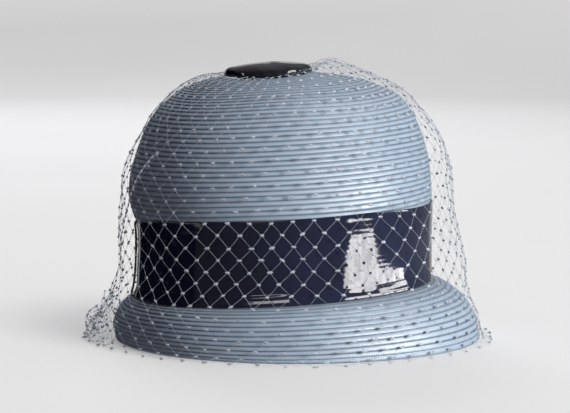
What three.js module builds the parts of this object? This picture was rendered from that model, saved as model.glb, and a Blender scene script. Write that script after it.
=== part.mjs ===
// Bubble hat: a blocked straw cloche with a wide patent band, a patent top
// button and a loose net veil that is caught under the button.
// Millimetres, +X front of the hat, +Y the wearer's left, +Z up.
// The rim of the brim lies in the plane z = 0.
import * as THREE from "three";

// ---------------------------------------------------------------- dimensions
const STRAW = 1.8;            // straw wall of crown and brim
const PATENT = 1.2;           // patent strip of the band
const NET = 1.0;              // wall of the veil's outer form
const GAP = 0.35;             // clearance between neighbouring pieces
const AXIS_X = -9.4;          // middle of the crown's ovals
const ROW_SLOPE = 0.055;      // the crown's rows rise to the front (3.15 degrees)
const HEM = 48.1;             // level where crown and brim meet, behind the band
const BAND_LOW = 32.9;        // lower edge of the band
const BAND_HIGH = 84.6;       // upper edge of the band
const BAND_DIP = 6.3;         // the upper edge dips this much at the back
const BAND_DIP_ANGLE = 24;    // half width of that dip, degrees
const BAND_FRONT_DIP = 2.3;   // and a little at the front
const RECESS = 1.1;           // the band draws the straw in by this much
const BAND_FLARE = 0.9;       // its lower edge spreads on the brim's root
const BAND_FLARE_BACK = 1.0;  // and this much more at the back
const BUTTON_R = 26.9;        // radius of the top button
const BUTTON_X = -18.3;       // its centre
const BUTTON_RISE = 4.6;      // thickness at its centre
const BUTTON_EDGE = 1.5;      // thickness at its rolled edge
const TAB_WIDTH = 15.0;       // strip that covers the band's ends
const TAB_THICK = 1.8;
const TAB_BEND = 87.8;        // it follows the band across with this radius
const TAB_ROUND = 0.35;       // its edges are this much thinner
const CENTRE_SHIFT = 7.6;    // moves the origin under the middle of the box
const SEGMENTS = 48;          // around every oval

// Crown, outer face of the straw. level: height of the row on the crown's
// axis; front, back: x of the row there; side: half width of the row.
const CROWN = [
  { level: 48.1, front: 85.3, back: -99.9, side: 84.6 },
  { level: 64.8, front: 85.3, back: -99.9, side: 84.7 },
  { level: 77.3, front: 85.3, back: -100.9, side: 84.9 },
  { level: 85.7, front: 85.2, back: -103.9, side: 85.1 },
  { level: 94.1, front: 84.5, back: -105.8, side: 85.2 },
  { level: 103.5, front: 83.6, back: -105.8, side: 84.7 },
  { level: 111.8, front: 82.0, back: -104.4, side: 83.2 },
  { level: 120.2, front: 79.6, back: -101.8, side: 80.7 },
  { level: 128.5, front: 76.7, back: -98.8, side: 77.3 },
  { level: 136.9, front: 72.9, back: -95.3, side: 73.4 },
  { level: 144.2, front: 68.1, back: -91.0, side: 68.8 },
  { level: 150.0, front: 62.3, back: -86.3, side: 63.7 },
  { level: 155.2, front: 53.5, back: -80.0, side: 56.6 },
  { level: 159.6, front: 43.3, back: -73.6, side: 48.1 },
  { level: 163.2, front: 30.3, back: -65.8, side: 37.1 },
  { level: 166.2, front: 12.0, back: -53.8, side: 21.9 },
  { level: 167.5, front: -6.3, back: -35.5, side: 8.9 },
];
const CROWN_TOP = { x: -19.9, level: 167.8 };

// Brim, outer face of the straw: x and height at front and back, half width
// and height at the sides.
const BRIM = [
  { front: 85.3, frontZ: 37.4, side: 84.4, sideZ: 32.2, back: -101.3, backZ: 27.2 },
  { front: 88.4, frontZ: 36.5, side: 87.3, sideZ: 31.2, back: -104.1, backZ: 26.5 },
  { front: 94.1, frontZ: 34.5, side: 90.8, sideZ: 29.2, back: -107.5, backZ: 25.0 },
  { front: 99.7, frontZ: 31.1, side: 93.9, sideZ: 25.9, back: -111.0, backZ: 22.0 },
  { front: 105.1, frontZ: 26.8, side: 96.6, sideZ: 21.4, back: -113.9, backZ: 18.0 },
  { front: 109.7, frontZ: 21.1, side: 98.4, sideZ: 15.9, back: -116.0, backZ: 13.2 },
  { front: 113.3, frontZ: 14.4, side: 99.5, sideZ: 10.0, back: -116.8, backZ: 8.6 },
  { front: 115.4, frontZ: 7.1, side: 99.7, sideZ: 4.6, back: -116.0, backZ: 4.2 },
  { front: 115.8, frontZ: 0, side: 99.3, sideZ: 0, back: -114.3, backZ: 0 },
];

// Veil, outer form of the net, from the ring at the button to its lower edge.
const VEIL = [
  { front: 9.7, frontZ: 169.3, side: 28.2, sideZ: 166.8, back: -46.5, backZ: 167.4 },
  { front: 18.3, frontZ: 174.9, side: 35.5, sideZ: 167.6, back: -52.2, backZ: 167.6 },
  { front: 30.3, frontZ: 172.8, side: 44.9, sideZ: 165.3, back: -63.2, backZ: 165.1 },
  { front: 49.6, frontZ: 166.2, side: 57.0, sideZ: 160.5, back: -75.8, backZ: 159.3 },
  { front: 67.4, frontZ: 157.4, side: 68.1, sideZ: 152.6, back: -88.3, backZ: 148.2 },
  { front: 79.9, frontZ: 144.8, side: 77.1, sideZ: 141.5, back: -99.1, backZ: 133.1 },
  { front: 90.4, frontZ: 129.0, side: 83.6, sideZ: 126.9, back: -107.2, backZ: 116.6 },
  { front: 97.4, frontZ: 110.8, side: 88.0, sideZ: 109.1, back: -111.0, backZ: 99.3 },
  { front: 99.3, frontZ: 87.8, side: 90.3, sideZ: 86.5, back: -111.8, backZ: 79.4 },
  { front: 103.2, frontZ: 64.8, side: 93.2, sideZ: 63.1, back: -112.2, backZ: 58.5 },
  { front: 107.4, frontZ: 42.8, side: 97.0, sideZ: 40.3, back: -114.5, backZ: 39.7 },
  { front: 110.8, frontZ: 27.6, side: 100.5, sideZ: 23.6, back: -118.9, backZ: 26.1 },
  { front: 115.6, frontZ: 15.0, side: 102.4, sideZ: 11.5, back: -122.3, backZ: 14.2 },
  { front: 118.3, frontZ: 5.6, side: 103.0, sideZ: 4.8, back: -123.3, backZ: 5.9 },
  { front: 118.6, frontZ: 0.4, side: 103.1, sideZ: 0.4, back: -123.3, backZ: 0.4 },
];
const BUNCH_OUT = 10.5;       // spare net gathered low at the back
const BUNCH_ANGLE = 17;       // its half width, degrees
const BUNCH_HIGH = 25.1;        // it fades out above this height

// Band, outer face of the patent, as extra over the straw face behind it.
const BAND_ROWS = [0, 0.14, 0.5, 0.86, 1];

// ------------------------------------------------------------------- helpers
const DEG = Math.PI / 180;
const clamp = (v, a, b) => Math.min(b, Math.max(a, v));
const smooth = (t) => { const u = clamp(t, 0, 1); return u * u * (3 - 2 * u); };
const angles = Array.from({ length: SEGMENTS }, (_, i) => (i / SEGMENTS) * 2 * Math.PI);
const fromBack = (a) => Math.abs(((a / DEG) % 360) - 180);   // degrees from the back

// Row of a table at a level between two of its rows.
function rowAt(table, level) {
  let k = 0;
  while (k < table.length - 2 && table[k + 1].level < level) k++;
  const p = table[k], q = table[k + 1];
  const t = clamp((level - p.level) / (q.level - p.level), 0, 1);
  const mix = (n) => p[n] + (q[n] - p[n]) * t;
  return { level, front: mix("front"), back: mix("back"), side: mix("side") };
}

const bandHigh = (a) =>
  BAND_HIGH - BAND_DIP * Math.exp(-((fromBack(a) / BAND_DIP_ANGLE) ** 2))
  - BAND_FRONT_DIP * smooth((Math.cos(a) - 0.5) / 0.5);

const bandLevel = (t, a) => BAND_LOW + (bandHigh(a) - BAND_LOW) * t;

// Oval point of a crown row, drawn in by `inset` (negative stands it off).
function ovalPoint(row, a, inset = 0) {
  const mid = (row.front + row.back) / 2, half = (row.front - row.back) / 2;
  const x = mid + (half - inset) * Math.cos(a);
  const y = (row.side - inset) * Math.sin(a);
  return new THREE.Vector3(x, y, row.level + ROW_SLOPE * (x - AXIS_X));
}
// Straw face of the crown, with the recess that the band presses into it.
function crownPoint(level, a, standOff = 0) {
  const inset = RECESS * smooth((bandHigh(a) + 3.0 - level) / 2.4);
  return ovalPoint(rowAt(CROWN, level), a, inset - standOff);
}
// Point of a row that has its own heights at front, sides and back.
function skirtPoint(row, a) {
  const c = Math.cos(a);
  const mid = (row.front + row.back) / 2, half = (row.front - row.back) / 2;
  const z = row.sideZ + ((row.frontZ + row.backZ) / 2 - row.sideZ) * c * c
    + ((row.frontZ - row.backZ) / 2) * c;
  return new THREE.Vector3(mid + half * c, row.side * Math.sin(a), z);
}
// Height of the crown's outer face over a point near its top.
function crownHeight(x, y) {
  let lo = 120, hi = CROWN_TOP.level;
  for (let n = 0; n < 40; n++) {
    const level = (lo + hi) / 2, last = CROWN[CROWN.length - 1];
    let row;
    if (level > last.level) {
      const t = (level - last.level) / (CROWN_TOP.level - last.level);
      row = { front: last.front + (CROWN_TOP.x - last.front) * t,
              back: last.back + (CROWN_TOP.x - last.back) * t, side: last.side * (1 - t) };
    } else row = rowAt(CROWN, level);
    const mid = (row.front + row.back) / 2, half = (row.front - row.back) / 2 + 1e-6;
    const inside = ((x - mid) / half) ** 2 + (y / (row.side + 1e-6)) ** 2 < 1;
    if (inside) lo = level; else hi = level;
  }
  return (lo + hi) / 2 + ROW_SLOPE * (x - AXIS_X);
}

// Rows of points one wall further in, along the surface's own normals.
function inward(rows, wall, pole) {
  const n = rows[0].length, last = rows.length - 1;
  return rows.map((row, r) => row.map((p, i) => {
    const along = row[(i + 1) % n].clone().sub(row[(i + n - 1) % n]);
    const up = (r === 0 ? (pole ?? row[i]) : rows[r - 1][i]).clone()
      .sub(rows[Math.min(r + 1, last)][i]);
    const normal = along.cross(up).normalize();
    return p.clone().addScaledVector(normal, -wall);
  }));
}

// One closed body through rings that run down the outer face and back up the
// inner face. With caps the two ends are closed on a point each; without, the
// last ring is joined to the first.
function closedBody(rings, caps = null) {
  const n = rings[0].length;
  const positions = [], index = [];
  for (const ring of rings) for (const p of ring) positions.push(p.x, p.y, p.z);
  const band = (r, s) => {
    for (let i = 0; i < n; i++) {
      const j = (i + 1) % n;
      const a = r * n + i, b = s * n + i, c = s * n + j, d = r * n + j;
      index.push(a, b, c, a, c, d);
    }
  };
  for (let r = 0; r + 1 < rings.length; r++) band(r, r + 1);
  if (caps) {
    const top = positions.length / 3;
    positions.push(caps[0].x, caps[0].y, caps[0].z, caps[1].x, caps[1].y, caps[1].z);
    const end = (rings.length - 1) * n;
    for (let i = 0; i < n; i++) {
      const j = (i + 1) % n;
      index.push(top, i, j);
      index.push(top + 1, end + j, end + i);
    }
  } else band(rings.length - 1, 0);
  const geometry = new THREE.BufferGeometry();
  geometry.setAttribute("position", new THREE.Float32BufferAttribute(positions, 3));
  geometry.setIndex(index);
  geometry.computeVertexNormals();
  return geometry;
}

function piece(name, geometry, color, roughness, metalness = 0) {
  const mesh = new THREE.Mesh(geometry, new THREE.MeshStandardMaterial({ color, roughness, metalness }));
  mesh.name = name;
  return mesh;
}

// --------------------------------------------------------------------- crown
function makeCrown() {
  const behind = (t) => (a) => bandLevel(t, a);
  const low = [() => HEM + GAP, behind(0.5), behind(0.86), (a) => bandHigh(a) + 0.5, (a) => bandHigh(a) + 3.0];
  const high = CROWN.filter((row) => row.level > 89).map((row) => () => row.level);
  const levels = [...low, ...high];
  const outer = levels.map((f) => angles.map((a) => crownPoint(f(a), a))).reverse();
  const pole = new THREE.Vector3(CROWN_TOP.x, 0, CROWN_TOP.level + ROW_SLOPE * (CROWN_TOP.x - AXIS_X));
  const all = inward(outer, STRAW, pole);
  const keep = outer.map((_, r) => r === outer.length - 1 || r % 2 === 0 || r > outer.length - 4);
  const inner = all.filter((_, r) => keep[r]);
  // the hem is cut square
  const hem = inner[inner.length - 1], edge = outer[outer.length - 1];
  hem.forEach((p, i) => { p.z = edge[i].z + ROW_SLOPE * (p.x - edge[i].x); });
  const innerPole = pole.clone(); innerPole.z -= STRAW;
  return closedBody([...outer, ...inner.reverse()], [pole, innerPole]);
}

// ---------------------------------------------------------------------- brim
function makeBrim() {
  const stand = angles.map((a) => crownPoint(HEM, a));
  const outer = [stand, ...BRIM.map((row, k) => angles.map((a) =>
    k === 0 ? crownPoint(BAND_LOW - 0.8, a) : skirtPoint(row, a)))];
  const inner = inward(outer, STRAW);
  inner[0].forEach((p, i) => { p.z = stand[i].z + ROW_SLOPE * (p.x - stand[i].x); });
  const rim = outer.length - 1;
  inner[rim] = outer[rim].map((p, i) => {
    const flat = inner[rim][i];
    return new THREE.Vector3(flat.x, flat.y, 0);
  });
  return closedBody([...outer, ...inner.reverse()]);
}

// ---------------------------------------------------------------------- band
const bandFlare = (t, a) =>
  (BAND_FLARE + BAND_FLARE_BACK * (1 - Math.cos(a)) / 2) * Math.max(0, 1 - t / 0.14);

function makeBand() {
  const ring = (t, off) => angles.map((a) => {
    const level = bandLevel(t, a);
    const base = crownPoint(level, a, off + bandFlare(t, a));
    base.z = level + ROW_SLOPE * (base.x - AXIS_X);
    return base;
  });
  const rows = BAND_ROWS.slice().reverse();
  const outer = rows.map((t) => ring(t, GAP + PATENT));
  const inner = rows.map((t) => ring(t, GAP));
  return closedBody([...outer, ...inner.reverse()]);
}

// ------------------------------------------------------------------ back tab
// Outer face of the strip, from its low end to its high end.
const TAB = [
  { z: 30.8, x: -106.5 },
  { z: 40.8, x: -105.5 },
  { z: 50.7, x: -104.6 },
  { z: 60.1, x: -104.0 },
  { z: 69.5, x: -103.6 },
];
function makeTab() {
  const across = 4;
  const rings = TAB.map(({ z, x }) => {
    const face = (s, off) => {
      const y = (s - 0.5) * TAB_WIDTH;
      const bend = (y * y) / (2 * TAB_BEND);
      return new THREE.Vector3(x + bend + off, y, z);
    };
    const ring = [];
    for (let j = 0; j <= across; j++) {
      const s = j / across;
      ring.push(face(s, TAB_THICK * TAB_ROUND * (2 * s - 1) ** 2));
    }
    for (let j = across; j >= 0; j--) ring.push(face(j / across, TAB_THICK));
    return ring;
  });
  const positions = [], index = [], n = rings[0].length, last = rings.length - 1;
  for (const ring of rings) for (const p of ring) positions.push(p.x, p.y, p.z);
  for (let r = 0; r < last; r++) for (let i = 0; i < n; i++) {
    const j = (i + 1) % n;
    const a = r * n + i, b = (r + 1) * n + i, c = (r + 1) * n + j, d = r * n + j;
    index.push(a, b, c, a, c, d);
  }
  const end = last * n;
  for (let j = 0; j < across; j++) {
    const k = n - 1 - j;
    index.push(j, j + 1, k - 1, j, k - 1, k);
    index.push(end + j, end + k - 1, end + j + 1, end + j, end + k, end + k - 1);
  }
  const geometry = new THREE.BufferGeometry();
  geometry.setAttribute("position", new THREE.Float32BufferAttribute(positions, 3));
  geometry.setIndex(index);
  geometry.computeVertexNormals();
  return geometry;
}

// ---------------------------------------------------------------- top button
function makeButton() {
  const turns = Array.from({ length: 32 }, (_, i) => (i / 32) * 2 * Math.PI);
  const radii = [0.35, 0.62, 0.82, 0.94, 1].map((k) => k * BUTTON_R);
  const under = (r, a) => crownHeight(BUTTON_X + r * Math.cos(a), r * Math.sin(a)) + GAP + 0.1;
  const thick = (r) => BUTTON_EDGE + (BUTTON_RISE - BUTTON_EDGE) * Math.sqrt(Math.max(0, 1 - (r / BUTTON_R) ** 2));
  const at = (r, a, h) => new THREE.Vector3(BUTTON_X + r * Math.cos(a), r * Math.sin(a), under(r, a) + h);
  const top = radii.map((r) => turns.map((a) => at(r, a, thick(r))));
  const base = radii.map((r) => turns.map((a) => at(r, a, 0)));
  const pole = at(0, 0, BUTTON_RISE), floor = at(0, 0, 0);
  return closedBody([...top, ...base.reverse()], [pole, floor]);
}

// ---------------------------------------------------------------------- veil
function makeVeil() {
  const outer = VEIL.map((row) => angles.map((a) => {
    const p = skirtPoint(row, a);
    const fade = 1 - smooth((p.z - 6) / (BUNCH_HIGH - 6));
    const out = BUNCH_OUT * Math.exp(-((fromBack(a) / BUNCH_ANGLE) ** 2)) * fade;
    p.x += out * Math.cos(a); p.y += out * Math.sin(a);
    return p;
  }));
  const inner = inward(outer, NET);
  inner[0].forEach((p, i) => {           // the ring at the button is cut plumb
    p.x = outer[0][i].x; p.y = outer[0][i].y; p.z = outer[0][i].z - NET;
  });
  const last = outer.length - 1;
  inner[last].forEach((p, i) => { p.z = outer[last][i].z; });
  return closedBody([...outer, ...inner.reverse()]);
}

// ------------------------------------------------------------------ assembly
const hat = new THREE.Group();
hat.position.x = CENTRE_SHIFT;
hat.add(piece("crown", makeCrown(), 0x8fa3b8, 0.55));
hat.add(piece("brim", makeBrim(), 0x8fa3b8, 0.55));
hat.add(piece("band", makeBand(), 0x15172b, 0.12));
hat.add(piece("back_tab", makeTab(), 0x15172b, 0.14));
hat.add(piece("top_button", makeButton(), 0x15172b, 0.12));
hat.add(piece("veil", makeVeil(), 0x7d8ba0, 0.8));

const group = new THREE.Group();
group.add(hat);

export default group;
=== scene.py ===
import math

import bpy
import numpy as np
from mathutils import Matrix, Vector
from mathutils.bvhtree import BVHTree


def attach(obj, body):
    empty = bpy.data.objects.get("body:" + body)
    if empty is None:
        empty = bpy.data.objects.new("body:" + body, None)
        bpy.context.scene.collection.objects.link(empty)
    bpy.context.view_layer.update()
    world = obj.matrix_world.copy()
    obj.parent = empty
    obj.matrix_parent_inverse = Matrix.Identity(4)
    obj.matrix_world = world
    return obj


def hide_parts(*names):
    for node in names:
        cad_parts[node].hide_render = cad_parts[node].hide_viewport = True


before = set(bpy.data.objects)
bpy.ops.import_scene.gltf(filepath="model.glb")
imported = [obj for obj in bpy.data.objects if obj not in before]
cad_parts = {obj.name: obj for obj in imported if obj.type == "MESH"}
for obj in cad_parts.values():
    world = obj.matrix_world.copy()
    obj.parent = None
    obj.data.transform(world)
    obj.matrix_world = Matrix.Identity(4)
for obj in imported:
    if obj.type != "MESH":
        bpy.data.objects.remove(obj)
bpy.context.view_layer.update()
scene = bpy.context.scene

# ------------------------------------------------------------------ sizes (mm)
SHIFT = 7.6
STRAW = 1.8
PATENT = 1.2
GAP = 0.35
AXIS_X = -9.4
ROW_SLOPE = 0.055
HEM = 48.1
BAND_LOW = 32.9
BAND_HIGH = 84.6
BAND_DIP = 6.3
BAND_DIP_ANGLE = 24.0
BAND_FRONT_DIP = 2.3
RECESS = 1.1
BAND_FLARE = 0.9
BAND_FLARE_BACK = 1.0
BUTTON_R = 26.9
BUTTON_X = -18.3
BUTTON_RISE = 6.8
BUTTON_EDGE = 4.0
TAB_WIDTH = 15.0
TAB_BEND = 87.8
BUNCH_OUT = 8.5
BUNCH_ANGLE = 17.0
BUNCH_HIGH = 25.1
RIB = 3.1          # width of one sewn row of straw braid
RIB_HIGH = 0.60    # how far a row stands over the next
MESH_SIDE = 9.75   # thread between two knots of the net
MESH_COLUMNS = 48
THREAD_R = 0.085

# level, front, back, side
CROWN = np.array([
    (48.1, 85.3, -99.9, 84.6), (64.8, 85.3, -99.9, 84.7), (77.3, 85.3, -100.9, 84.9),
    (85.7, 85.2, -103.9, 85.1), (94.1, 84.5, -105.8, 85.2), (103.5, 83.6, -105.8, 84.7),
    (111.8, 82.0, -104.4, 83.2), (120.2, 79.6, -101.8, 80.7), (128.5, 76.7, -98.8, 77.3),
    (136.9, 72.9, -95.3, 73.4), (144.2, 68.1, -91.0, 68.8), (150.0, 62.3, -86.3, 63.7),
    (155.2, 53.5, -80.0, 56.6), (159.6, 43.3, -73.6, 48.1), (163.2, 30.3, -65.8, 37.1),
    (166.2, 12.0, -53.8, 21.9), (167.5, -6.3, -35.5, 8.9), (167.8, -19.9, -19.9, 0.0),
])
# front x, front z, side y, side z, back x, back z
BRIM = np.array([
    (84.3, 37.2, 83.4, 32.1, -100.2, 27.1), (88.4, 36.5, 87.3, 31.2, -104.1, 26.5),
    (94.1, 34.5, 90.8, 29.2, -107.5, 25.0), (99.7, 31.1, 93.9, 25.9, -111.0, 22.0),
    (105.1, 26.8, 96.6, 21.4, -113.9, 18.0), (109.7, 21.1, 98.4, 15.9, -116.0, 13.2),
    (113.3, 14.4, 99.5, 10.0, -116.8, 8.6), (115.4, 7.1, 99.7, 4.6, -116.0, 4.2),
    (115.8, 0.0, 99.3, 0.0, -114.3, 0.0),
])
VEIL = np.array([
    (4.0, 167.9, 23.0, 166.0, -41.0, 165.9),
    (9.7, 169.3, 28.2, 166.8, -46.5, 167.4), (18.3, 174.9, 35.5, 167.6, -52.2, 167.6),
    (30.3, 172.8, 44.9, 165.3, -63.2, 165.1), (49.6, 166.2, 57.0, 160.5, -75.2, 159.0),
    (67.4, 157.4, 68.1, 152.6, -87.4, 147.8), (79.9, 144.8, 77.1, 141.5, -98.0, 132.8),
    (90.4, 129.0, 83.6, 126.9, -106.2, 116.6), (97.4, 110.8, 88.0, 109.1, -110.2, 99.3),
    (99.3, 87.8, 90.3, 86.5, -111.8, 79.4), (103.2, 64.8, 93.2, 63.1, -112.2, 58.5),
    (107.4, 42.8, 97.0, 40.3, -114.5, 39.7), (110.8, 27.6, 100.5, 23.6, -118.9, 26.1),
    (115.6, 15.0, 102.4, 11.5, -122.3, 14.2), (118.3, 5.6, 103.0, 4.8, -123.3, 5.9),
    (119.4, 2.0, 104.0, 1.9, -124.0, 2.2), (122.0, 0.8, 106.6, 0.8, -125.6, 0.9),
    (125.4, 0.6, 109.8, 0.6, -127.6, 0.7),
])
TAB = np.array([
    (30.8, -106.5), (40.8, -105.5), (50.7, -104.6), (60.1, -104.0), (69.5, -103.6),
])

RNG = np.random.default_rng(7)
TAU = 2 * math.pi


# -------------------------------------------------------------------- camera
def make_camera():
    data = bpy.data.cameras.new("camera")
    data.lens = 145
    data.sensor_width = 36
    data.clip_start, data.clip_end = 0.05, 60
    cam = bpy.data.objects.new("camera", data)
    scene.collection.objects.link(cam)
    cam.location = (-0.0384, -1.4448, 0.2495)
    aim = Vector((0.0, 0.0, 0.083))
    cam.rotation_mode = "QUATERNION"
    cam.rotation_quaternion = (aim - cam.location).to_track_quat("-Z", "Y")
    scene.camera = cam


make_camera()


# ------------------------------------------------------------------- helpers
def smooth(t):
    u = np.clip(t, 0, 1)
    return u * u * (3 - 2 * u)


def from_back(a):
    return np.abs(np.mod(np.degrees(a), 360) - 180)


def spline(xs, ys, q):
    """Cubic through (xs, ys) at q; ys may have several columns."""
    xs, ys, q = np.asarray(xs, float), np.asarray(ys, float), np.asarray(q, float)
    if ys.ndim == 1:
        return spline(xs, ys[:, None], q)[..., 0]
    m = np.empty_like(ys)
    m[1:-1] = (ys[2:] - ys[:-2]) / (xs[2:] - xs[:-2])[:, None]
    m[0] = (ys[1] - ys[0]) / (xs[1] - xs[0])
    m[-1] = (ys[-1] - ys[-2]) / (xs[-1] - xs[-2])
    k = np.clip(np.searchsorted(xs, q, side="right") - 1, 0, len(xs) - 2)
    h = (xs[k + 1] - xs[k])[..., None]
    t = ((q - xs[k])[..., None]) / h
    return ((2 * t**3 - 3 * t**2 + 1) * ys[k] + (t**3 - 2 * t**2 + t) * h * m[k]
            + (-2 * t**3 + 3 * t**2) * ys[k + 1] + (t**3 - t**2) * h * m[k + 1])


class Waves:
    """Smooth noise over (angle, length) that closes round the oval, about -1 to 1."""

    def __init__(self, seed, turns, per_mm, terms=10):
        r = np.random.default_rng(seed)
        self.k = r.integers(-turns, turns + 1, terms)
        self.w = r.uniform(-per_mm, per_mm, terms) * TAU
        self.p = r.uniform(0, TAU, terms)
        self.n = 1.6 / math.sqrt(terms)

    def __call__(self, a, s):
        out = 0
        for k, w, p in zip(self.k, self.w, self.p):
            out = out + np.sin(k * a + w * s + p)
        return out * self.n


def normals_of(P):
    """Outward normals of rings that run from the top down, angle counter-clockwise."""
    da = np.roll(P, -1, 1) - np.roll(P, 1, 1)
    dr = np.empty_like(P)
    dr[1:-1] = P[2:] - P[:-2]
    dr[0] = P[1] - P[0]
    dr[-1] = P[-1] - P[-2]
    n = np.cross(dr, da)
    return n / (np.linalg.norm(n, axis=-1, keepdims=True) + 1e-12)


def add_mesh(name, verts, faces, uvs=None, smooth_faces=True):
    me = bpy.data.meshes.new(name)
    v = np.array(verts, float)
    v[:, 0] += SHIFT
    me.from_pydata((v * 0.001).tolist(), [], faces)
    if uvs is not None:
        layer = me.uv_layers.new(name="braid")
        layer.data.foreach_set("uv", np.asarray(uvs, np.float32).ravel())
    me.polygons.foreach_set("use_smooth", [smooth_faces] * len(me.polygons))
    me.update()
    me.validate()
    ob = bpy.data.objects.new(name, me)
    scene.collection.objects.link(ob)
    return ob


def ring_faces(R, N, closed, offset=0):
    idx = np.arange(R * N).reshape(R, N) + offset
    if closed:
        a, b = idx, np.roll(idx, -1, 0)
    else:
        a, b = idx[:-1], idx[1:]
    c, d = np.roll(b, -1, 1), np.roll(a, -1, 1)
    return np.stack([a, b, c, d], -1).reshape(-1, 4)


def ring_uvs(R, N, vs, closed):
    """u once round, v as given for each ring."""
    u0 = np.arange(N) / N
    u1 = u0 + 1 / N
    va = np.asarray(vs, float)
    vb = np.roll(va, -1) if closed else va[1:]
    if not closed:
        va = va[:-1]
    rows = len(va)
    out = np.empty((rows, N, 4, 2))
    out[:, :, 0, 0] = u0; out[:, :, 1, 0] = u0; out[:, :, 2, 0] = u1; out[:, :, 3, 0] = u1
    out[:, :, 0, 1] = va[:, None]; out[:, :, 1, 1] = vb[:, None]
    out[:, :, 2, 1] = vb[:, None]; out[:, :, 3, 1] = va[:, None]
    return out.reshape(-1, 2)


# ------------------------------------------------------------- crown surface
_d = np.diff(CROWN, axis=0)
CROWN_S = np.concatenate([[0], np.cumsum(np.sqrt(
    _d[:, 0]**2 + (_d[:, 1]**2 + _d[:, 2]**2 + 2 * _d[:, 3]**2) / 4))])


def band_high(a):
    return (BAND_HIGH - BAND_DIP * np.exp(-((from_back(a) / BAND_DIP_ANGLE)**2))
            - BAND_FRONT_DIP * smooth((np.cos(a) - 0.5) / 0.5))


def oval(level, front, back, side, a, inset=0.0):
    mid, half = (front + back) / 2, (front - back) / 2
    x = mid + (half - inset) * np.cos(a)
    y = (side - inset) * np.sin(a)
    z = level + ROW_SLOPE * (x - AXIS_X)
    return np.stack([x, y, z], -1)


def crown_at_s(s, a):
    row = spline(CROWN_S, CROWN, s)
    level = row[..., 0]
    inset = RECESS * smooth((band_high(a) + 3.0 - level) / 2.4)
    inset = np.minimum(inset, row[..., 3])
    return oval(level, row[..., 1], row[..., 2], row[..., 3], a, inset)


def crown_at_level(level, a, stand_off=0.0):
    row = spline(CROWN[:, 0], CROWN, level)
    inset = RECESS * smooth((band_high(a) + 3.0 - level) / 2.4) - stand_off
    return oval(level, row[..., 1], row[..., 2], row[..., 3], a, inset)


def s_of_level(level):
    return float(np.interp(level, CROWN[:, 0], CROWN_S))


def crown_height(x, y):
    """Height of the straw over points near the crown's tip."""
    lo = np.full(np.shape(x), s_of_level(120.0))
    hi = np.full(np.shape(x), CROWN_S[-1])
    for _ in range(34):
        m = (lo + hi) / 2
        row = spline(CROWN_S, CROWN, m)
        mid, half = (row[..., 1] + row[..., 2]) / 2, np.maximum((row[..., 1] - row[..., 2]) / 2, 1e-6)
        inside = ((x - mid) / half)**2 + (y / np.maximum(row[..., 3], 1e-6))**2 < 1
        lo, hi = np.where(inside, m, lo), np.where(inside, hi, m)
    return spline(CROWN_S, CROWN, (lo + hi) / 2)[..., 0] + ROW_SLOPE * (x - AXIS_X)


# Height of the straw over its base through one row of braid, from its lower
# edge, which laps over the row below, to where it goes under the row above.
ROW_V = np.array([0.0, 0.08, 0.22, 0.46, 0.74, 0.90])
ROW_H = np.array([0.0, 0.74, 1.0, 0.92, 0.56, 0.08])
row_sway = Waves(11, 5, 1 / 70)
row_lift = Waves(12, 40, 1 / 6)
form_dent = Waves(13, 4, 1 / 120)


def ribbed(surface, s_list, heights, N, lift=RIB_HIGH, sway=0.22, dent=0.35):
    a = np.arange(N) / N * TAU
    S, A = np.meshgrid(s_list, a, indexing="ij")
    fine = np.asarray(heights) >= 0
    s2 = S + np.where(fine[:, None], sway * row_sway(A, S), 0)
    base = surface(s2, A)
    n = normals_of(base)
    h = np.clip(np.asarray(heights), 0, None)[:, None] * lift * (1 + 0.06 * row_lift(A, S))
    return base, n, base + n * (h + dent * form_dent(A, S) * fine[:, None] * 0.5)[..., None]


def make_crown():
    N = 200
    s0 = s_of_level(72.0)
    rows = int(round((CROWN_S[-1] - s0) / RIB))
    pitch = (CROWN_S[-1] - 1.5 - s0) / rows
    s, h, v = [], [], []
    for lv in (48.5, 56.0, 66.0):
        s.append(s_of_level(lv)); h.append(-1); v.append(0.0)
    for k in range(rows):
        for vv, hh in zip(ROW_V, ROW_H):
            s.append(s0 + (k + vv) * pitch); h.append(hh); v.append(k + vv)
    s, h, v = np.array(s)[::-1], np.array(h)[::-1], np.array(v)[::-1]
    base, n, outer = ribbed(crown_at_s, s, h, N)
    # inside face: the same rows, seen from behind, with fewer samples
    keep = [i for i in range(len(s)) if h[i] < 0 or i % 3 == 0]
    if keep[-1] != len(s) - 1:
        keep.append(len(s) - 1)
    keep = np.array(keep)
    hi = np.clip(h[keep], 0, None)[:, None, None]
    inner = base[keep] - n[keep] * (STRAW - 0.25 * hi)
    inner[0] = inner[1] * 0.35 + inner[0] * 0.65
    low = outer[-1].copy()
    inner[-1, :, 2] = low[:, 2] + ROW_SLOPE * (inner[-1, :, 0] - low[:, 0])
    rings = np.concatenate([outer, inner[::-1]])
    R = len(rings)
    faces = ring_faces(R, N, False)
    uvs = ring_uvs(R, N, np.concatenate([v, v[keep][::-1]]), False)
    verts = rings.reshape(-1, 3)
    top = outer[0].mean(0) + np.array([0, 0, 0.05])
    under = inner[0].mean(0)
    verts = np.vstack([verts, top, under])
    t, u = R * N, R * N + 1
    end = (R - 1) * N
    caps, cuv = [], []
    for i in range(N):
        j = (i + 1) % N
        caps.append((t, i, j)); cuv += [((i + .5) / N, v[0]), (i / N, v[0]), ((i + 1) / N, v[0])]
        caps.append((u, end + j, end + i)); cuv += [((i + .5) / N, v[0]), ((i + 1) / N, v[0]), (i / N, v[0])]
    return add_mesh("crown_straw", verts, faces.tolist() + caps, np.vstack([uvs, cuv]))


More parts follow.
